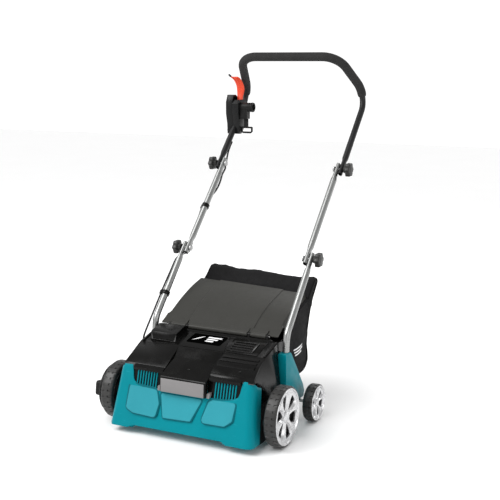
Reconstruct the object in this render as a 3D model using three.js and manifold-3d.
// Electric lawn scarifier with a folding three-part handle, a rear flap and a fabric collecting bag.
// Drawing datum: X = 0 is the plane of symmetry, -Y is the front, Z = 0 is the ground. Millimetres.
// "left" names the -X side and "right" the +X side. The group at the end moves the datum so that
// the origin lies under the middle of the whole machine.
import * as THREE from 'three';
import Module from 'manifold-3d';
import { mergeVertices } from 'three/addons/utils/BufferGeometryUtils.js';

const wasm = await Module();
wasm.setup();

// ---------------------------------------------------------------- driving dimensions
const GAP = 0.4;
const TURNING_GAP = 0.6;
const MACHINE_CENTRE = { x: -21, y: 164 };

const FRONT_WHEEL = { radius: 82.5, width: 36, outerX: 271, y: -146, z: 82.5, spokes: 6, segments: 24 };
const REAR_WHEEL = { radius: 53.7, width: 29, outerX: 274, y: 63, z: 53.7, spokes: 6, segments: 20 };
const CRANK = { y: -136, z: 82.5, radius: 6, armX: 219, armThickness: 6, armRadius: 10 };
const REAR_AXLE_RADIUS = 5;
const DEPTH_KNOB = {
  innerX: -276, baseX: -286, outerX: -316, radius: 70, grip: 84, gripWidth: 44, tilt: -1.7,
};

const WALL = 3.5;
const HOUSING = { bottomZ: 19, topZ: 180, frontY: -257, rise: 0.2851, bottomX: 217, topX: 201 };
const HOUSING_REAR_Y = 20;
const DECK_Z = 154;
const BAY_FLOOR_Z = 27;
const REAR_BODY_X = 196.5;
const WAIST_Y = -52;
const CHAMBER = { frontY: -121, minX: -160, topZ: 150 };
const BELT_BAY = { rearY: -15.5, maxX: -163.5, floorZ: 31 };
const SKIRT = { frontY: -190, bottomZ: 118, topZ: 184, innerX: 197.2 };
const GRILLE = { count: 9, innerX: 87, pitch: 8.5, width: 5, lowZ: 132, highZ: 176, climb: 1.4 };
const FEET = { leftX: -164, rightX: 139, cutLeftX: -147, cutRightX: 123 };
const TONGUE = { halfX: 70, backY: -128 };

const MOTOR = { y: -172, z: 148, radius: 42, minX: -150, maxX: 10, shaftRadius: 5 };
const ROTOR = { y: -50, z: 78, shaftRadius: 7, bladeRadius: 64, sets: 6, setPitch: 53, firstX: -119 };
const BELT = { x: -178, width: 12, thickness: 3, smallRadius: 12, largeRadius: 28 };
const BEARING = { radius: 16.6, width: 9 };

const COVER_WALL = 3;
const COVER_REAR_X = 194;
const HINGE = { y: -28, z: 258, pinRadius: 2.5, barrelRadius: 5.5 };
const FLAP = { thickness: 4, lowX: 187, highX: 180, flangeDepth: 14 };

const TUBE = { radius: 9.5, bore: 7.9, flatScale: 0.7, flatReach: 24, stub: 18 };
const TUBE_X = { lower: 210, middle: 196, upper: 210 };
const LOWER_JOINT = { y: 150.4, z: 449.5 };
const UPPER_JOINT = { y: 386, z: 685 };
const BOLT = { radius: 4, headRadius: 9, headX: 184, endX: 236 };
const KNOB = { innerX: 218, discX: 226, outerX: 242, radius: 22, lobes: 6 };
const U_CORNER = { x: 210, y: 602, z: 900, bend: 60 };
const BAR_CORNER = { x: 166, y: 455, z: 1022, bend: 66 };
const FOAM = { inner: 10.3, outer: 14 };
const BOX = { splitX: -210, outerX: -233, innerX: -188, wall: 3 };
const INLET = { y: 500, z: 860, radius: 15, socketRadius: 11, endX: -142, socketDepth: 32 };
const CABLE_RADIUS = 2.8;

// ---------------------------------------------------------------- finishes
function finish(color, roughness, metalness) {
  return new THREE.MeshStandardMaterial({ color, roughness, metalness });
}
const TEAL = finish(0x1c9aa8, 0.4, 0);
const GLOSS_BLACK = finish(0x1d1d1f, 0.3, 0);
const DARK_GREY = finish(0x3f3f3d, 0.4, 0);
const LIGHT_GREY = finish(0x9b9694, 0.45, 0);
const RUBBER = finish(0x242424, 0.9, 0);
const SILVER_PLASTIC = finish(0xc2c4c6, 0.35, 0.3);
const STEEL = finish(0xb4b7ba, 0.3, 0.9);
const BLACK_TUBE = finish(0x161617, 0.35, 0.4);
const FOAM_BLACK = finish(0x2b2b2b, 0.95, 0);
const FABRIC = finish(0x17171a, 0.95, 0);
const ORANGE = finish(0xd24a22, 0.45, 0);

// ---------------------------------------------------------------- geometry tools
const AXIS_X = new THREE.Vector3(1, 0, 0);
const AXIS_Y = new THREE.Vector3(0, 1, 0);
const AXIS_Z = new THREE.Vector3(0, 0, 1);
const SECTION_YZ = new THREE.Matrix4().makeBasis(AXIS_Y, AXIS_Z, AXIS_X);
const SECTION_XZ = new THREE.Matrix4().makeBasis(AXIS_X, AXIS_Z, AXIS_Y.clone().negate());

function outline(points) {
  return new THREE.Shape(points.map(([a, b]) => new THREE.Vector2(a, b)));
}

function disc(a, b, radius) {
  return new THREE.Shape().absarc(a, b, radius, 0, Math.PI * 2);
}

function ring(a, b, radius, bore) {
  const shape = disc(a, b, radius);
  shape.holes.push(disc(a, b, bore));
  return shape;
}

// A section drawn in (Y, Z), extruded from x0 to x1.
function alongX(shape, x0, x1, curveSegments = 8) {
  const geometry = new THREE.ExtrudeGeometry(shape, { depth: x1 - x0, bevelEnabled: false, curveSegments });
  return geometry.applyMatrix4(SECTION_YZ).translate(x0, 0, 0);
}

// A section drawn in (X, Z), extruded from y0 to y1.
function alongY(shape, y0, y1, curveSegments = 8) {
  const geometry = new THREE.ExtrudeGeometry(shape, { depth: y1 - y0, bevelEnabled: false, curveSegments });
  return geometry.applyMatrix4(SECTION_XZ).translate(0, y1, 0);
}

function block(x0, x1, y0, y1, z0, z1) {
  const geometry = new THREE.BoxGeometry(x1 - x0, y1 - y0, z1 - z0);
  return geometry.translate((x0 + x1) / 2, (y0 + y1) / 2, (z0 + z1) / 2);
}

// A profile of [radius, x] points turned about the X axis through (y, z).
function turned(profile, y, z, segments = 24) {
  const points = profile.map(([radius, x]) => new THREE.Vector2(radius, x));
  const geometry = new THREE.LatheGeometry(points, segments);
  return geometry.rotateZ(-Math.PI / 2).translate(0, y, z);
}

// A plain round bar, or the tool for a round hole, about the X axis through (y, z).
function rod(radius, x0, x1, y, z, segments = 12) {
  return turned([[0, x0], [radius, x0], [radius, x1], [0, x1]], y, z, segments);
}

function weld(geometry) {
  const bare = geometry.clone();
  bare.deleteAttribute('normal');
  bare.deleteAttribute('uv');
  return mergeVertices(bare, 1e-3);
}

function toSolid(geometry) {
  const welded = weld(geometry);
  const vertProperties = new Float32Array(welded.attributes.position.array);
  const triVerts = new Uint32Array(welded.index.array);
  return new wasm.Manifold(new wasm.Mesh({ numProp: 3, vertProperties, triVerts }));
}

function toGeometry(solid) {
  const mesh = solid.getMesh();
  const geometry = new THREE.BufferGeometry();
  geometry.setAttribute('position', new THREE.BufferAttribute(mesh.vertProperties, 3));
  geometry.setIndex(new THREE.BufferAttribute(mesh.triVerts, 1));
  return geometry;
}

function join(...geometries) {
  return toGeometry(geometries.map(toSolid).reduce((whole, piece) => whole.add(piece)));
}

function cut(base, ...tools) {
  return toGeometry(tools.map(toSolid).reduce((rest, tool) => rest.subtract(tool), toSolid(base)));
}

function common(base, ...others) {
  return toGeometry(others.map(toSolid).reduce((rest, other) => rest.intersect(other), toSolid(base)));
}

function reshape(geometry, move) {
  const position = geometry.attributes.position;
  const vertex = new THREE.Vector3();
  for (let index = 0; index < position.count; index += 1) {
    vertex.fromBufferAttribute(position, index);
    move(vertex);
    position.setXYZ(index, vertex.x, vertex.y, vertex.z);
  }
  return geometry;
}

// The mirror image on the other side of X = 0, with its faces turned the right way out again.
function mirrored(geometry) {
  const copy = weld(geometry);
  copy.scale(-1, 1, 1);
  const corners = copy.index.array;
  for (let first = 0; first < corners.length; first += 3) {
    [corners[first + 1], corners[first + 2]] = [corners[first + 2], corners[first + 1]];
  }
  return copy;
}

// A route through a list of points, with one section at each. The "spare" points at each end only
// set the direction of the first and last section.
class Route extends THREE.Curve {
  constructor(points, spare) {
    super();
    this.points = points;
    this.spare = spare;
    this.spans = points.length - 1 - 2 * spare;
  }

  getPointAt(u, target = new THREE.Vector3()) {
    const place = this.spare + u * this.spans;
    const index = Math.min(Math.floor(place), this.points.length - 2);
    return target.lerpVectors(this.points[index], this.points[index + 1], place - index);
  }

  getTangentAt(u, target = new THREE.Vector3()) {
    const index = this.spare + Math.round(u * this.spans);
    const before = this.points[Math.max(index - 1, 0)];
    const after = this.points[Math.min(index + 1, this.points.length - 1)];
    return target.subVectors(after, before).normalize();
  }
}

function sweep(shape, points, { curveSegments = 5, spare = 0 } = {}) {
  const extrudePath = new Route(points, spare);
  return new THREE.ExtrudeGeometry(shape, { steps: extrudePath.spans, extrudePath, curveSegments });
}

// The points of an arc of the given radius that rounds the corner between two straight runs.
function roundCorner(before, corner, after, radius, steps) {
  const back = before.clone().sub(corner).normalize();
  const ahead = after.clone().sub(corner).normalize();
  const opening = back.angleTo(ahead);
  const reach = radius / Math.tan(opening / 2);
  const inward = back.clone().add(ahead).normalize();
  const centre = corner.clone().addScaledVector(inward, radius / Math.sin(opening / 2));
  const start = corner.clone().addScaledVector(back, reach).sub(centre);
  const end = corner.clone().addScaledVector(ahead, reach).sub(centre);
  const turn = Math.PI - opening;
  return Array.from({ length: steps + 1 }, (_, step) => {
    const share = (step / steps) * turn;
    return centre.clone()
      .addScaledVector(start, Math.sin(turn - share) / Math.sin(turn))
      .addScaledVector(end, Math.sin(share) / Math.sin(turn));
  });
}

function vec(x, y, z) {
  return new THREE.Vector3(x, y, z);
}

// A point beside a joint: "along" the tube upwards and "off" it towards the underside.
function besideTube(x, joint, along, off, slope = Math.PI / 4) {
  const y = joint.y + along * Math.cos(slope) + off * Math.sin(slope);
  const z = joint.z + along * Math.sin(slope) - off * Math.cos(slope);
  return vec(x, y, z);
}

const product = new THREE.Group();
product.position.set(-MACHINE_CENTRE.x, -MACHINE_CENTRE.y, 0);

function addPart(name, geometry, material) {
  const mesh = new THREE.Mesh(geometry, material);
  mesh.name = name;
  product.add(mesh);
}

function addPair(name, rightGeometry, material) {
  addPart(`${name}_right`, rightGeometry, material);
  addPart(`${name}_left`, mirrored(rightGeometry), material);
}

// ---------------------------------------------------------------- lower housing
function housingX(z) {
  const share = (z - HOUSING.bottomZ) / (HOUSING.topZ - HOUSING.bottomZ);
  return HOUSING.bottomX + (HOUSING.topX - HOUSING.bottomX) * share;
}

function housingFrontY(z) {
  return HOUSING.frontY + (z - HOUSING.bottomZ) * HOUSING.rise;
}

// A prism of half width 1 whose sides follow the leaning flanks of the housing.
function flanked(shape, inset) {
  const prism = alongX(shape, -1, 1);
  return reshape(prism, (vertex) => { vertex.x *= housingX(vertex.z) - inset; });
}

function housingShell() {
  const body = flanked(outline([
    [HOUSING.frontY, HOUSING.bottomZ], [-200, HOUSING.bottomZ],
    [HOUSING_REAR_Y, 27], [HOUSING_REAR_Y, DECK_Z],
    [-124.5, DECK_Z], [-124.5, HOUSING.topZ], [housingFrontY(HOUSING.topZ), HOUSING.topZ],
  ]), 0);
  const cornerRadius = 26;
  const arcX = 216 - cornerRadius;
  const plan = new THREE.Shape();
  plan.moveTo(-230, 40);
  plan.lineTo(-230, HOUSING.frontY + cornerRadius);
  plan.absarc(-arcX, HOUSING.frontY + cornerRadius, cornerRadius, Math.PI, Math.PI * 1.5);
  plan.absarc(arcX, HOUSING.frontY + cornerRadius, cornerRadius, Math.PI * 1.5, Math.PI * 2);
  plan.lineTo(230, 40);
  const corners = new THREE.ExtrudeGeometry(plan, { depth: 200, bevelEnabled: false, curveSegments: 4 });
  reshape(corners, (vertex) => { vertex.y += (vertex.z - HOUSING.bottomZ) * HOUSING.rise; });
  return common(body, corners);
}

function motorBayCavity() {
  const floor = BAY_FLOOR_Z + WALL;
  const front = housingFrontY(floor) + WALL + 0.2;
  return flanked(outline([
    [front, floor], [CHAMBER.frontY - WALL, floor], [CHAMBER.frontY - WALL, 200],
    [front + (200 - floor) * HOUSING.rise, 200],
  ]), WALL);
}

function grilleSlots() {
  const slots = [];
  for (let index = 0; index < GRILLE.count; index += 1) {
    const x = GRILLE.innerX + index * GRILLE.pitch;
    const low = GRILLE.lowZ + index * GRILLE.climb;
    slots.push(block(x - GRILLE.width / 2, x + GRILLE.width / 2, -235, -205, low, GRILLE.highZ));
  }
  return [...slots, ...slots.map(mirrored)];
}

function rearAxleEar() {
  return alongX(outline([
    [0, 30], [60, 40], [76, 46], [78, 56], [72, 70], [50, 84], [20, 112], [0, 112],
  ]), REAR_BODY_X - WALL, REAR_BODY_X);
}

// The gap between the two feet that the front of the housing stands on.
function underCut() {
  return alongY(outline([
    [FEET.leftX, 0], [FEET.cutLeftX, BAY_FLOOR_Z], [FEET.cutRightX, BAY_FLOOR_Z], [FEET.rightX, 0],
  ]), -300, CHAMBER.frontY);
}

function motorCradle(x) {
  const footZ = BAY_FLOOR_Z + 1;
  return alongX(outline([[-226, footZ], [-124, footZ], [-124, 122], [-216, 122]]), x, x + 5);
}

function lowerHousing() {
  const inside = REAR_BODY_X - WALL;
  const hollow = [
    motorBayCavity(),
    block(CHAMBER.minX, inside, CHAMBER.frontY, HOUSING_REAR_Y - WALL, 0, CHAMBER.topZ),
    block(CHAMBER.minX, inside, 10, 30, 58, CHAMBER.topZ),
    block(-inside, BELT_BAY.maxX, CHAMBER.frontY - WALL - 1, BELT_BAY.rearY, BELT_BAY.floorZ, 200),
    underCut(),
  ];
  const flanks = [
    block(REAR_BODY_X, 240, WAIST_Y, 60, 0, 220),
    block(SKIRT.innerX, 240, SKIRT.frontY, WAIST_Y + 1, SKIRT.bottomZ - GAP, 220),
  ];
  const shell = cut(housingShell(), ...hollow, ...flanks, ...flanks.map(mirrored));
  const leftBoss = rod(22, -168, -156, ROTOR.y, ROTOR.z, 16);
  const rightBoss = rod(22, 182, 195, ROTOR.y, ROTOR.z, 16);
  const whole = join(shell, leftBoss, rightBoss, rearAxleEar(), mirrored(rearAxleEar()), motorCradle(-128),
    motorCradle(-22));
  const bearingSeat = BEARING.radius + GAP;
  return cut(
    whole,
    rod(bearingSeat, -175, -150, ROTOR.y, ROTOR.z, 16),
    rod(bearingSeat, 175, 193.2, ROTOR.y, ROTOR.z, 16),
    rod(CRANK.radius + TURNING_GAP, -240, 240, CRANK.y, CRANK.z),
    rod(REAR_AXLE_RADIUS + GAP, -240, 240, REAR_WHEEL.y, REAR_WHEEL.z),
    rod(MOTOR.radius + GAP, -160, 20, MOTOR.y, MOTOR.z, 20),
    ...grilleSlots(),
  );
}

// ---------------------------------------------------------------- top cover and its fittings
const COVER_PROFILE = [
  [-210.6, 180.4], [-203, 189], [-127, 229], [-52, 247], [-36, 249], [-14, 246], [-9, 240],
  [-9, 154.4], [-51.2, 154.4], [-51.2, 180.4],
];
const COVER_HOLLOW = [
  [-205.6, 180], [-200.9, 186.2], [-126.2, 225.5], [-51.6, 243.9], [-36, 246], [-15.5, 243], [-12, 239],
  [-12, 150], [-51.2, 150], [-51.2, 180],
];

function coverSurfaceZ(y) {
  const upper = COVER_PROFILE.slice(0, 5);
  const next = upper.findIndex(([pointY]) => pointY > y);
  const [y0, z0] = upper[next - 1];
  const [y1, z1] = upper[next];
  return z0 + ((y - y0) / (y1 - y0)) * (z1 - z0);
}

function coverHalf(profile, inset, skirtFrontY, skirtZ) {
  const front = flanked(outline(profile), inset);
  const skirt = flanked(outline([
    [skirtFrontY, skirtZ], [WAIST_Y, skirtZ], [WAIST_Y, SKIRT.topZ], [skirtFrontY, SKIRT.topZ],
  ]), inset);
  const rearLimit = COVER_REAR_X - inset;
  const wide = block(-240, 240, -240, WAIST_Y, 0, 300);
  const narrow = block(-rearLimit, rearLimit, WAIST_Y - 2, 10, 0, 300);
  return common(join(front, skirt), join(wide, narrow));
}

function hingeLug(x0) {
  const foot = alongX(outline([[-37, 244], [-19, 244], [-22, 258], [-34, 258]]), x0, x0 + 7);
  const eye = alongX(disc(HINGE.y, HINGE.z, 6), x0, x0 + 7);
  return join(foot, eye);
}

// The fuller front of the cover on the right-hand side of the tongue.
function coverShoulder() {
  const full = flanked(outline([
    [-209, 182.4], [-204, 195], [-167, 217], [-124, 229.5], [-124, 228], [-203, 187], [-209, 181],
  ]), 0.5);
  return common(full, block(TONGUE.halfX + 1, 240, -240, -100, 150, 260));
}

// The lip of the cover that hangs over the head of each grille.
function coverBrow() {
  return alongX(outline([
    [-204, 188], [-216, 182], [-216.8, 175], [-213.4, 175], [-212.9, 180.6], [-206, 181],
  ]), TONGUE.halfX + 1, 165);
}

// Leaves the middle of the cover's front open, where the tongue of the front grip lies.
function tongueSeat() {
  const side = TONGUE.halfX + GAP;
  return block(-side, side, -240, TONGUE.backY, 150, 300);
}

function topCover() {
  const outer = coverHalf(COVER_PROFILE, 0, SKIRT.frontY + GAP, SKIRT.bottomZ);
  const hollow = coverHalf(COVER_HOLLOW, COVER_WALL, SKIRT.frontY - 5, SKIRT.bottomZ - 10);
  const hump = flanked(outline([
    [-112, 225], [-106, 255], [-60, 266], [-46, 264], [-42, 240], [-60, 240],
  ]), 4);
  const humpBlock = common(hump, block(-174, -92, -130, -30, 200, 300));
  const lugs = [-160, -103, 96, 153].map(hingeLug);
  const pinHole = rod(HINGE.pinRadius + TURNING_GAP, -200, 200, HINGE.y, HINGE.z, 10);
  const shell = join(
    cut(outer, hollow), humpBlock, coverShoulder(), coverBrow(), mirrored(coverBrow()), ...lugs,
  );
  return cut(shell, pinHole, tongueSeat());
}

function frontGrip() {
  const backY = TONGUE.backY - GAP;
  const tongue = outline([
    [backY, 230.6], [-133, 228], [-156, 209], [-166, 204], [-232, 174], [-234.5, 169], [-237, 131],
    [housingFrontY(131) - 0.6, 131], [housingFrontY(180) - 0.8, 180], [-206, 183.5], [-164, 201],
    [-154, 205.6], [-132, 224.6], [backY, 225],
  ]);
  return alongX(tongue, -TONGUE.halfX, TONGUE.halfX);
}

function gripInsert() {
  return alongX(outline([[-237.5, 132.5], [-235, 169], [-237.4, 169.6], [-239.9, 132.5]]), -66, 66);
}

function ventGrille() {
  const seat = (y) => coverSurfaceZ(y) + GAP;
  const low = seat(-118);
  const high = seat(-66);
  const frame = alongX(outline([[-118, low], [-66, high], [-66, high + 4], [-118, low + 4]]), 72, 150);
  const slots = [-110, -98, -86, -74].map((y) => block(80, 142, y - 3, y + 3, 200, 300));
  return cut(frame, ...slots);
}

// ---------------------------------------------------------------- handle brackets and tubes
const LOWER_TUBE_ROOT = vec(TUBE_X.lower, -34, 128);

function lowerTubePoints() {
  const joint = vec(TUBE_X.lower, LOWER_JOINT.y, LOWER_JOINT.z);
  const knee = vec(TUBE_X.lower, -22, 268);
  const run = joint.clone().sub(knee).normalize();
  const at = (distance) => joint.clone().addScaledVector(run, distance);
  return [
    LOWER_TUBE_ROOT, ...roundCorner(LOWER_TUBE_ROOT, knee, joint, 60, 3), at(-44), at(-TUBE.flatReach),
    at(TUBE.stub),
  ];
}

// Presses the round tube flat, in the X direction, around the centre of a joint.
function flattened(geometry, x, joint) {
  return reshape(geometry, (vertex) => {
    const distance = Math.hypot(vertex.y - joint.y, vertex.z - joint.z);
    const share = THREE.MathUtils.smoothstep(distance, TUBE.flatReach + 6, 42);
    const squeeze = THREE.MathUtils.lerp(TUBE.flatScale, 1, share);
    const centre = Math.sign(vertex.x) * x;
    vertex.x = centre + (vertex.x - centre) * squeeze;
  });
}

function boltHole(joint, x0, x1) {
  return rod(BOLT.radius + TURNING_GAP, x0, x1, joint.y, joint.z, 10);
}

function lowerTube() {
  const tube = sweep(ring(0, 0, TUBE.radius, TUBE.bore), lowerTubePoints());
  return cut(flattened(tube, TUBE_X.lower, LOWER_JOINT), boltHole(LOWER_JOINT, 190, 230));
}

function middleTube() {
  const low = vec(TUBE_X.middle, LOWER_JOINT.y, LOWER_JOINT.z);
  const high = vec(TUBE_X.middle, UPPER_JOINT.y, UPPER_JOINT.z);
  const run = high.clone().sub(low).normalize();
  const from = (end, distance) => end.clone().addScaledVector(run, distance);
  const points = [
    from(low, -TUBE.stub), from(low, TUBE.flatReach), from(low, 44),
    from(high, -44), from(high, -TUBE.flatReach), from(high, TUBE.stub),
  ];
  const tube = sweep(ring(0, 0, TUBE.radius, TUBE.bore), points);
  const pressed = flattened(flattened(tube, TUBE_X.middle, LOWER_JOINT), TUBE_X.middle, UPPER_JOINT);
  return cut(pressed, boltHole(LOWER_JOINT, 180, 220), boltHole(UPPER_JOINT, 180, 220));
}

function handleBracket() {
  const side = outline([
    [-49, 220], [-22, 221], [-10, 213], [30, 160], [75, 99], [84, 78], [78, 62], [-46, 62],
  ]);
  const points = lowerTubePoints();
  const seat = points[0].clone().lerp(points[1], -0.01);
  const socket = sweep(disc(0, 0, TUBE.radius + TURNING_GAP), [seat, ...points.slice(1)]);
  return cut(alongX(side, 197, 221), socket);
}

function clampBolt(joint) {
  const { radius, headRadius, headX, endX } = BOLT;
  return turned([
    [0, headX], [headRadius, headX], [headRadius, headX + 4], [radius, headX + 4], [radius, endX], [0, endX],
  ], joint.y, joint.z, 10);
}

function clampKnob(joint) {
  const star = new THREE.Shape();
  const steps = KNOB.lobes * 4;
  for (let step = 0; step < steps; step += 1) {
    const angle = (step / steps) * Math.PI * 2;
    const radius = KNOB.radius - 2 + 2 * Math.cos(angle * KNOB.lobes);
    const place = [joint.y + radius * Math.cos(angle), joint.z + radius * Math.sin(angle)];
    if (step === 0) star.moveTo(...place);
    else star.lineTo(...place);
  }
  const hub = turned([[0, KNOB.innerX], [10, KNOB.innerX], [12, KNOB.discX + 1], [0, KNOB.discX + 1]],
    joint.y, joint.z, 12);
  const bore = rod(BOLT.radius + TURNING_GAP, 210, BOLT.endX + 1, joint.y, joint.z, 10);
  return cut(join(alongX(star, KNOB.discX, KNOB.outerX), hub), bore);
}

function handleRoute() {
  const joint = vec(TUBE_X.upper, UPPER_JOINT.y, UPPER_JOINT.z);
  const bend = vec(U_CORNER.x, U_CORNER.y, U_CORNER.z);
  const shoulder = vec(BAR_CORNER.x, BAR_CORNER.y, BAR_CORNER.z);
  const crown = vec(0, BAR_CORNER.y, BAR_CORNER.z);
  const run = bend.clone().sub(joint).normalize();
  const at = (distance) => joint.clone().addScaledVector(run, distance);
  const half = [
    at(-TUBE.stub), at(TUBE.flatReach), at(44), ...roundCorner(joint, bend, shoulder, U_CORNER.bend, 3),
    ...roundCorner(bend, shoulder, crown, BAR_CORNER.bend, 4),
  ];
  const other = half.map((point) => vec(-point.x, point.y, point.z)).reverse();
  return [...half, ...other];
}

function upperHandle() {
  const tube = sweep(ring(0, 0, TUBE.radius, TUBE.bore), handleRoute());
  return cut(flattened(tube, TUBE_X.upper, UPPER_JOINT), boltHole(UPPER_JOINT, -230, 230));
}

function foamGrip() {
  const points = handleRoute();
  const first = 3;
  const section = ring(0, 0, FOAM.outer, FOAM.inner);
  return sweep(section, points.slice(first, points.length - first), { spare: 1 });
}

// ---------------------------------------------------------------- switch, inlet and cable
const BOX_SIDE = [
  [489, 773], [503, 773], [546, 812], [548, 850], [536, 880], [508, 900], [489, 900], [478, 876],
  [478, 840], [487, 805],
];
const BOX_INNER_SIDE = [
  [489, 773], [503, 773], [546, 812], [548, 850], [538, 876], [532, 884], [489, 884], [478, 872],
  [478, 840], [487, 805],
];
const LEVER_PIVOT = { y: 512, z: 869, radius: 5 };
const LEVER_LEAN_Z = 920;
const LEVER_LEAN = 0.25;

function shrunk(points, amount) {
  const centre = points.reduce(([a, b], [y, z]) => [a + y / points.length, b + z / points.length], [0, 0]);
  return points.map(([y, z]) => {
    const reach = Math.hypot(y - centre[0], z - centre[1]);
    const scale = (reach - amount) / reach;
    return [centre[0] + (y - centre[0]) * scale, centre[1] + (z - centre[1]) * scale];
  });
}

function leftArmHole() {
  const points = handleRoute().map((point) => vec(-point.x, point.y, point.z)).slice(0, 7);
  return sweep(disc(0, 0, TUBE.radius + GAP), points);
}

function switchBox() {
  const side = outline(BOX_INNER_SIDE);
  const shell = alongX(side, BOX.splitX + GAP / 2, BOX.innerX);
  const pocket = alongX(outline(shrunk(BOX_INNER_SIDE, 5)), BOX.splitX - 10, BOX.innerX - BOX.wall);
  const leverSlot = block(BOX.splitX - 5, BOX.innerX - BOX.wall + 0.3, 496, 530, 860, 900);
  return cut(shell, pocket, leverSlot, leftArmHole());
}

function switchBoxCover() {
  const shell = alongX(outline(BOX_SIDE), BOX.outerX, BOX.splitX - GAP / 2);
  const pocket = alongX(outline(shrunk(BOX_SIDE, 5)), BOX.outerX + BOX.wall, BOX.splitX + 10);
  const buttonHole = rod(7.4, -250, -220, 502, 868);
  return cut(shell, pocket, buttonHole, leftArmHole());
}

function powerInlet() {
  const { y, z, radius, endX } = INLET;
  const start = BOX.innerX + GAP;
  const barrel = alongX(disc(y, z, radius), start, endX);
  const skirt = alongX(outline([[y - 12, z - 38], [y + 12, z - 38], [y + 13, z], [y - 13, z]]), start, -161);
  const socket = alongX(disc(y, z, INLET.socketRadius), endX - INLET.socketDepth, endX + 5);
  return cut(join(barrel, skirt), socket);
}

function cableHook() {
  const { y, z } = INLET;
  const loop = outline([
    [-187, 795], [-187, 781], [-181, 775], [-152, 775], [-146, 781], [-146, 795], [-148, 797], [-185, 797],
  ]);
  const neck = block(-176, -162, y - 3, y + 3, 795, z - 38 - GAP);
  const eye = block(-182, -151, y - 5, y + 5, 781, 791.5);
  return cut(join(alongY(loop, y - 3, y + 3), neck), eye);
}

function switchLever() {
  const { y, z, radius } = LEVER_PIVOT;
  const stem = outline([[y - 4, z], [y + 4, z], [527, 908], [520, 908]]);
  const blade = outline([
    [519, 903], [520, 925], [514, 942], [501, 953], [490, 960], [493, 965], [506, 959],
    [519, 946], [526, 926], [526, 903],
  ]);
  const hub = alongX(disc(y, z, radius), -208, -191.5, 5);
  const spoon = reshape(alongX(blade, -213, -188), (vertex) => {
    vertex.x -= Math.max(vertex.z - LEVER_LEAN_Z, 0) * LEVER_LEAN;
  });
  return join(hub, alongX(stem, -208, -191.5), spoon);
}

function lockButton() {
  return turned([[0, -238], [5, -238], [6.8, -236.5], [6.8, -223], [0, -223]], 502, 868, 12);
}

const LOWER_SLOPE = 0.8111;
const MIDDLE_SLOPE = Math.PI / 4;
const LOWER_CLIP = { tube: TUBE_X.lower, slope: LOWER_SLOPE, along: -165, x: -223, off: -4.1 };
const UPPER_CLIP = { tube: TUBE_X.middle, slope: MIDDLE_SLOPE, along: 160, x: -209.5, off: 6 };

const lowerSide = (x, along, off) => besideTube(x, LOWER_JOINT, along, off, LOWER_SLOPE);
const LOWER_CABLE = [
  vec(-223, -70, 205), vec(-223, -69, 222), vec(-223, -52, 243), lowerSide(-223, -262, -4.4),
  lowerSide(-223, -181, -4.1), lowerSide(-223, -149, -4.1), lowerSide(-223, -90, -1), lowerSide(-223, -40, 3),
  besideTube(-215, LOWER_JOINT, -14, 17), besideTube(-207, LOWER_JOINT, -2, 24),
];
const MIDDLE_CABLE = [
  besideTube(-204, LOWER_JOINT, 4, 25), besideTube(-202, LOWER_JOINT, 30, 20),
  besideTube(-207, LOWER_JOINT, 80, 12),
  besideTube(-209.5, LOWER_JOINT, 144, 6), besideTube(-209.5, LOWER_JOINT, 176, 6),
  besideTube(-204, LOWER_JOINT, 200, 14), besideTube(-188, LOWER_JOINT, 224, 16),
  besideTube(-178, LOWER_JOINT, 248, 14), besideTube(-184, UPPER_JOINT, -56, 18),
  besideTube(-194, UPPER_JOINT, -30, 20), besideTube(-197, UPPER_JOINT, -2, 24),
];
const UPPER_CABLE = [
  besideTube(-199, UPPER_JOINT, 4, 24), besideTube(-202, UPPER_JOINT, 30, 20),
  besideTube(-205, UPPER_JOINT, 60, 15),
  besideTube(-206, UPPER_JOINT, 84, 14), besideTube(-206, UPPER_JOINT, 103, 14),
];

function cable(points) {
  return sweep(disc(0, 0, CABLE_RADIUS), points, { curveSegments: 4 });
}

// A band round the tube with a smaller loop beside it that holds the cable.
function cableClip({ tube, slope, along, x, off }) {
  const extruded = (shape, depth) => {
    const geometry = new THREE.ExtrudeGeometry(shape, { depth, bevelEnabled: false, curveSegments: 6 });
    return geometry.translate(0, 0, -depth / 2);
  };
  const side = x + tube;
  const outer = join(
    extruded(disc(0, 0, TUBE.radius + 2.8), 12), extruded(disc(side, off, CABLE_RADIUS + 2.4), 12),
  );
  const clip = cut(outer, extruded(disc(0, 0, TUBE.radius + 0.8), 20),
    extruded(disc(side, off, CABLE_RADIUS + TURNING_GAP), 20));
  const run = vec(0, Math.cos(slope), Math.sin(slope));
  const under = vec(0, Math.sin(slope), -Math.cos(slope));
  const { y, z } = besideTube(-tube, LOWER_JOINT, along, 0, slope);
  return clip.applyMatrix4(new THREE.Matrix4().makeBasis(AXIS_X, under, run)).translate(-tube, y, z);
}

// ---------------------------------------------------------------- wheels
function tyreProfile({ radius, width }) {
  const seat = radius * 0.8;
  const flange = radius * 0.935;
  return [
    [seat, 0], [radius - 3, 0], [radius, 5], [radius, width - 5], [flange + GAP, width - 1],
    [flange + GAP, width - 6], [seat, width - 6], [seat, 0],
  ];
}

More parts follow.
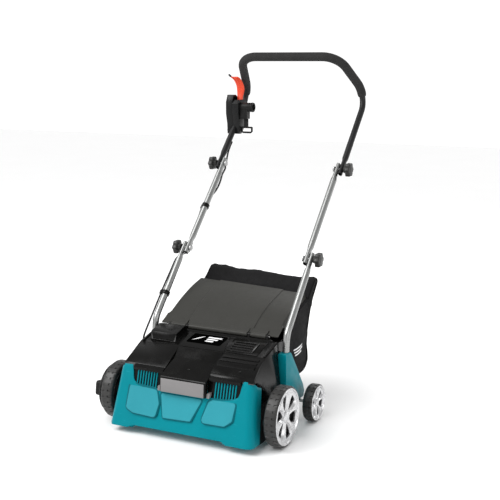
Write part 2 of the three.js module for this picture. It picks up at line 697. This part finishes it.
function rimGeometry({ radius, width, spokes, segments }, bore) {
  const seat = radius * 0.8 - GAP;
  const flange = radius * 0.935;
  const hubRadius = radius * 0.2;
  const band = turned([
    [seat - 4, 2], [seat, 2], [seat, width - 6 + GAP], [flange, width - 6 + GAP], [flange, width],
    [seat - 4, width], [seat - 4, 2],
  ], 0, 0, segments);
  const face = ring(0, 0, seat - 2, bore);
  for (let index = 0; index < spokes; index += 1) {
    const middle = (index / spokes) * Math.PI * 2;
    const polar = (distance, angle) => [distance * Math.cos(angle), distance * Math.sin(angle)];
    const half = Math.PI / spokes;
    face.holes.push(outline([
      polar(hubRadius * 1.5, middle), polar(seat - 8, middle - half * 0.62), polar(seat - 6, middle),
      polar(seat - 8, middle + half * 0.62),
    ]));
  }
  const spider = alongX(face, width - 11, width - 2, segments / 4);
  const hub = rod(hubRadius, 1, width, 0, 0);
  return cut(join(band, spider, hub), rod(bore, -5, width + 5, 0, 0));
}

function addWheel(place, spec, bore) {
  const innerX = spec.outerX - spec.width;
  const tyre = turned(tyreProfile(spec), 0, 0, spec.segments).translate(innerX, spec.y, spec.z);
  const rim = rimGeometry(spec, bore).translate(innerX, spec.y, spec.z);
  addPair(`${place}_tyre`, tyre, RUBBER);
  addPair(`${place}_rim`, rim, SILVER_PLASTIC);
}

function frontAxle() {
  const { y, z, radius, armX, armThickness, armRadius } = CRANK;
  const throwY = FRONT_WHEEL.y;
  const shaft = rod(radius, -armX - 1, armX + 1, y, z);
  const arm = outline([
    [y + 2, z - armRadius], [y + armRadius, z - 4], [y + armRadius, z + 4], [y + 2, z + armRadius],
    [throwY - 2, z + armRadius], [throwY - armRadius, z + 4], [throwY - armRadius, z - 4],
    [throwY - 2, z - armRadius],
  ]);
  const rightArm = alongX(arm, armX, armX + armThickness);
  const rightStub = rod(radius, armX, 268, throwY, z);
  const leftStub = rod(radius, -292, -armX, throwY, z);
  return join(shaft, rightArm, mirrored(rightArm), rightStub, leftStub);
}

function depthKnob() {
  const { innerX, baseX, outerX, radius, grip, gripWidth, tilt } = DEPTH_KNOB;
  const { y, z } = FRONT_WHEEL;
  const base = turned([
    [0, baseX], [radius - 4, baseX], [radius, baseX + 4], [radius, innerX], [0, innerX],
  ], 0, 0, 24);
  const long = grip / 2;
  const wide = gripWidth / 2;
  const bar = alongX(outline([
    [-wide, -long + 8], [-wide + 6, -long], [wide - 6, -long], [wide, -long + 8],
    [wide, long - 8], [wide - 6, long], [-wide + 6, long], [-wide, long - 8],
  ]), outerX, baseX + 2);
  bar.rotateX(tilt);
  const bore = rod(CRANK.radius + TURNING_GAP, -298, -270, 0, 0);
  return cut(join(base, bar), bore).translate(0, y, z);
}

// ---------------------------------------------------------------- drive and blades
function motorBody() {
  const { minX, maxX, radius, y, z, shaftRadius } = MOTOR;
  const bore = shaftRadius + GAP;
  return turned([
    [0, minX + 26], [bore, minX + 26], [bore, minX], [18, minX], [18, minX + 8], [radius - 4, minX + 8],
    [radius, minX + 14], [radius, maxX - 12], [radius - 5, maxX - 6], [16, maxX - 6], [16, maxX], [0, maxX],
  ], y, z, 20);
}

function motorPulley() {
  const { y, z, shaftRadius, minX } = MOTOR;
  const low = BELT.x - BELT.width / 2 - 1;
  const high = BELT.x + BELT.width / 2 + 1;
  return turned([
    [0, low - 2], [BELT.smallRadius + 4, low - 2], [BELT.smallRadius + 4, low], [BELT.smallRadius, low],
    [BELT.smallRadius, high], [BELT.smallRadius + 4, high], [BELT.smallRadius + 4, high + 2],
    [shaftRadius, high + 2],
    [shaftRadius, minX + 24], [0, minX + 24],
  ], y, z, 16);
}

function shaftPulley() {
  const bore = ROTOR.shaftRadius + GAP;
  const low = BELT.x - BELT.width / 2 - 1;
  const high = BELT.x + BELT.width / 2 + 1;
  const { largeRadius } = BELT;
  return turned([
    [bore, low - 2], [largeRadius - 2, low - 2], [largeRadius, low], [largeRadius, high],
    [largeRadius - 2, high + 2],
    [bore, high + 2], [bore, low - 2],
  ], ROTOR.y, ROTOR.z, 24);
}

function beltOutline(smallRadius, largeRadius) {
  const run = Math.hypot(ROTOR.y - MOTOR.y, ROTOR.z - MOTOR.z);
  const heading = Math.atan2(ROTOR.z - MOTOR.z, ROTOR.y - MOTOR.y);
  const spread = Math.acos((smallRadius - largeRadius) / run);
  const shape = new THREE.Shape();
  shape.absarc(MOTOR.y, MOTOR.z, smallRadius, heading + spread, heading - spread + Math.PI * 2);
  shape.absarc(ROTOR.y, ROTOR.z, largeRadius, heading - spread, heading + spread);
  shape.closePath();
  return shape;
}

function driveBelt() {
  const inner = GAP;
  const outer = GAP + BELT.thickness;
  const shape = beltOutline(BELT.smallRadius + outer, BELT.largeRadius + outer);
  shape.holes.push(beltOutline(BELT.smallRadius + inner, BELT.largeRadius + inner));
  return alongX(shape, BELT.x - BELT.width / 2, BELT.x + BELT.width / 2, 10);
}

function bladePlate(phase) {
  const shape = new THREE.Shape();
  const teeth = 3;
  const tooth = [[16, -0.5], [ROTOR.bladeRadius, 0], [36, 0.2]];
  for (let index = 0; index < teeth; index += 1) {
    tooth.forEach(([radius, angle], corner) => {
      const turn = angle + phase + (index / teeth) * Math.PI * 2;
      const place = [radius * Math.cos(turn), radius * Math.sin(turn)];
      if (index === 0 && corner === 0) shape.moveTo(...place);
      else shape.lineTo(...place);
    });
  }
  return shape;
}

function bladeSet(index) {
  const x = ROTOR.firstX + index * ROTOR.setPitch;
  const sleeve = rod(13, -25, 25, 0, 0, 8);
  const plates = [-18, 0, 18].map((offset, plate) => {
    const phase = index * 0.35 + plate * 0.7;
    return alongX(bladePlate(phase), offset - 1.2, offset + 1.2);
  });
  const bore = rod(ROTOR.shaftRadius + GAP, -30, 30, 0, 0);
  return cut(join(sleeve, ...plates), bore).translate(x, ROTOR.y, ROTOR.z);
}

function bearing(x0) {
  const bore = ROTOR.shaftRadius + GAP;
  const x1 = x0 + BEARING.width;
  return turned([
    [bore, x0], [BEARING.radius, x0], [BEARING.radius, x1], [bore, x1], [bore, x0],
  ], ROTOR.y, ROTOR.z, 16);
}

// ---------------------------------------------------------------- flap and bag
const FLAP_TOP = [[-28, 262.5], [-10, 271], [20, 288], [69, 311], [130, 331], [189, 345]];

function flapX(y) {
  const share = (y - HINGE.y) / (189 - HINGE.y);
  return FLAP.lowX + (FLAP.highX - FLAP.lowX) * share;
}

function flapSheet(drop, rise, inset) {
  const top = FLAP_TOP.map(([y, z]) => [y, z + rise]);
  const under = [...FLAP_TOP].reverse().map(([y, z]) => [y, z - drop]);
  const sheet = alongX(outline([...top, ...under]), -1, 1);
  return reshape(sheet, (vertex) => { vertex.x *= flapX(vertex.y) - inset; });
}

function rearFlap() {
  const sheet = flapSheet(FLAP.thickness, 0, 0);
  const flange = flapSheet(FLAP.flangeDepth, -1, 0);
  const trimmed = cut(flange, flapSheet(60, 60, 4), block(-400, 400, -60, 12, 200, 400));
  const sleeves = [[-152, -104], [-94, 94], [104, 152]].map(([x0, x1]) => join(
    alongX(disc(HINGE.y, HINGE.z, HINGE.barrelRadius), x0, x1),
    alongX(outline([[-31, 258], [-25, 258], [-14, 268], [-24, 264]]), x0, x1),
  ));
  const lugRoom = [-161, -104, 95, 152].map((x0) => block(x0, x0 + 9, -40, -19, 240, 280));
  const bore = rod(HINGE.pinRadius + TURNING_GAP, -200, 200, HINGE.y, HINGE.z, 10);
  return cut(join(sheet, trimmed, ...sleeves), bore, ...lugRoom);
}

const MOUTH = { y: 40, z: 105, lean: 0.311, height: 147, halfX: 186, bar: 8, thickness: 5 };

function mouthPoint(along, behind) {
  return [
    MOUTH.y - along * Math.sin(MOUTH.lean) + behind * Math.cos(MOUTH.lean),
    MOUTH.z + along * Math.cos(MOUTH.lean) + behind * Math.sin(MOUTH.lean),
  ];
}

function bagFrame() {
  const { halfX, height, bar, thickness } = MOUTH;
  const loop = outline([[-halfX, 0], [halfX, 0], [halfX, height], [-halfX, height]]);
  loop.holes.push(outline([
    [-halfX + bar, bar], [halfX - bar, bar], [halfX - bar, height - bar], [-halfX + bar, height - bar],
  ]));
  const frame = alongY(loop, 0, thickness).rotateX(MOUTH.lean).translate(0, MOUTH.y, MOUTH.z);
  const hooks = [-1, 1].map((side) => {
    const hook = alongX(outline([[29, 158], [4, 155], [4, 160], [26, 166]]), 92, 112);
    return side > 0 ? hook : mirrored(hook);
  });
  const crossBar = block(-halfX + 2, halfX - 2, 0, thickness, 52, 60)
    .rotateX(MOUTH.lean).translate(0, MOUTH.y, MOUTH.z);
  return join(frame, crossBar, ...hooks);
}

function bagProfile(inset) {
  const start = MOUTH.thickness + GAP;
  const low = mouthPoint(2, start);
  const high = mouthPoint(MOUTH.height - 2, start);
  const rear = [
    [25, 280], [69, 301], [130, 321], [186, 334], [198, 342], [240, 378], [256, 384], [262, 370],
    [237, 343], [213, 311], [195, 265], [181, 225], [173, 199], [184, 150], [182, 121], [150, 106],
  ];
  if (inset === 0) return [low, high, ...rear];
  const mouthLow = mouthPoint(2 + inset, -6);
  const mouthHigh = mouthPoint(MOUTH.height - 2 - inset, -6);
  const centre = [120, 235];
  const inner = rear.map(([y, z]) => {
    const reach = Math.hypot(y - centre[0], z - centre[1]);
    return [centre[0] + ((y - centre[0]) * (reach - inset * 1.3)) / reach,
      centre[1] + ((z - centre[1]) * (reach - inset * 1.3)) / reach];
  });
  return [mouthLow, mouthHigh, ...inner];
}

function bagFabric() {
  const section = (inset) => outline([
    [-188 + inset, 104], [188 - inset, 104], [188 - inset, 366], [180 - inset, 400], [-180 + inset, 400],
    [-188 + inset, 366],
  ]);
  const solid = common(alongX(outline(bagProfile(0)), -200, 200), alongY(section(0), -50, 300));
  const underFlap = cut(flapSheet(32, 40, -20), block(-174, 174, -100, 300, 200, 500)).translate(0, 1.2, 0);
  const clear = cut(solid, underFlap);
  const hollow = common(alongX(outline(bagProfile(4)), -200, 200), alongY(section(10), -50, 300));
  return cut(clear, hollow);
}

// ---------------------------------------------------------------- assembly
addPart('lower_housing', lowerHousing(), TEAL);
addPart('top_cover', topCover(), GLOSS_BLACK);
addPart('front_grip', frontGrip(), GLOSS_BLACK);
addPart('grip_insert', gripInsert(), LIGHT_GREY);
addPart('vent_grille', ventGrille(), GLOSS_BLACK);
addPair('handle_bracket', handleBracket(), TEAL);
addPart('motor_body', motorBody(), STEEL);
addPart('motor_pulley', motorPulley(), STEEL);
addPart('drive_belt', driveBelt(), RUBBER);
addPart('cutter_shaft', rod(ROTOR.shaftRadius, -189, 192, ROTOR.y, ROTOR.z), STEEL);
addPart('shaft_pulley', shaftPulley(), STEEL);
for (let index = 0; index < ROTOR.sets; index += 1) {
  addPart(`blade_set_${index + 1}`, bladeSet(index), STEEL);
}
addPart('bearing_left', bearing(-167), STEEL);
addPart('bearing_right', bearing(183.5), STEEL);

addPart('front_axle', frontAxle(), STEEL);
addPart('rear_axle', rod(REAR_AXLE_RADIUS, -270, 270, REAR_WHEEL.y, REAR_WHEEL.z), STEEL);
addWheel('front', FRONT_WHEEL, CRANK.radius + TURNING_GAP);
addWheel('rear', REAR_WHEEL, REAR_AXLE_RADIUS + TURNING_GAP);
addPart('depth_knob', depthKnob(), DARK_GREY);

addPart('rear_flap', rearFlap(), DARK_GREY);
addPart('flap_hinge_pin', rod(HINGE.pinRadius, -162, 162, HINGE.y, HINGE.z, 10), STEEL);
addPart('bag_frame', bagFrame(), GLOSS_BLACK);
addPart('bag_fabric', bagFabric(), FABRIC);

addPair('lower_tube', lowerTube(), STEEL);
addPair('middle_tube', middleTube(), STEEL);
addPart('upper_handle', upperHandle(), BLACK_TUBE);
addPart('foam_grip', foamGrip(), FOAM_BLACK);
addPair('lower_bolt', clampBolt(LOWER_JOINT), STEEL);
addPair('upper_bolt', clampBolt(UPPER_JOINT), STEEL);
addPair('lower_knob', clampKnob(LOWER_JOINT), GLOSS_BLACK);
addPair('upper_knob', clampKnob(UPPER_JOINT), GLOSS_BLACK);

addPart('switch_box', switchBox(), GLOSS_BLACK);
addPart('switch_box_cover', switchBoxCover(), GLOSS_BLACK);
addPart('power_inlet', powerInlet(), DARK_GREY);
addPart('cable_hook', cableHook(), GLOSS_BLACK);
addPart('switch_lever', switchLever(), ORANGE);
addPart('lock_button', lockButton(), DARK_GREY);
addPart('cable_lower', cable(LOWER_CABLE), RUBBER);
addPart('cable_middle', cable(MIDDLE_CABLE), RUBBER);
addPart('cable_upper', cable(UPPER_CABLE), RUBBER);
addPart('cable_clip_lower', cableClip(LOWER_CLIP), GLOSS_BLACK);
addPart('cable_clip_upper', cableClip(UPPER_CLIP), GLOSS_BLACK);

export default product;
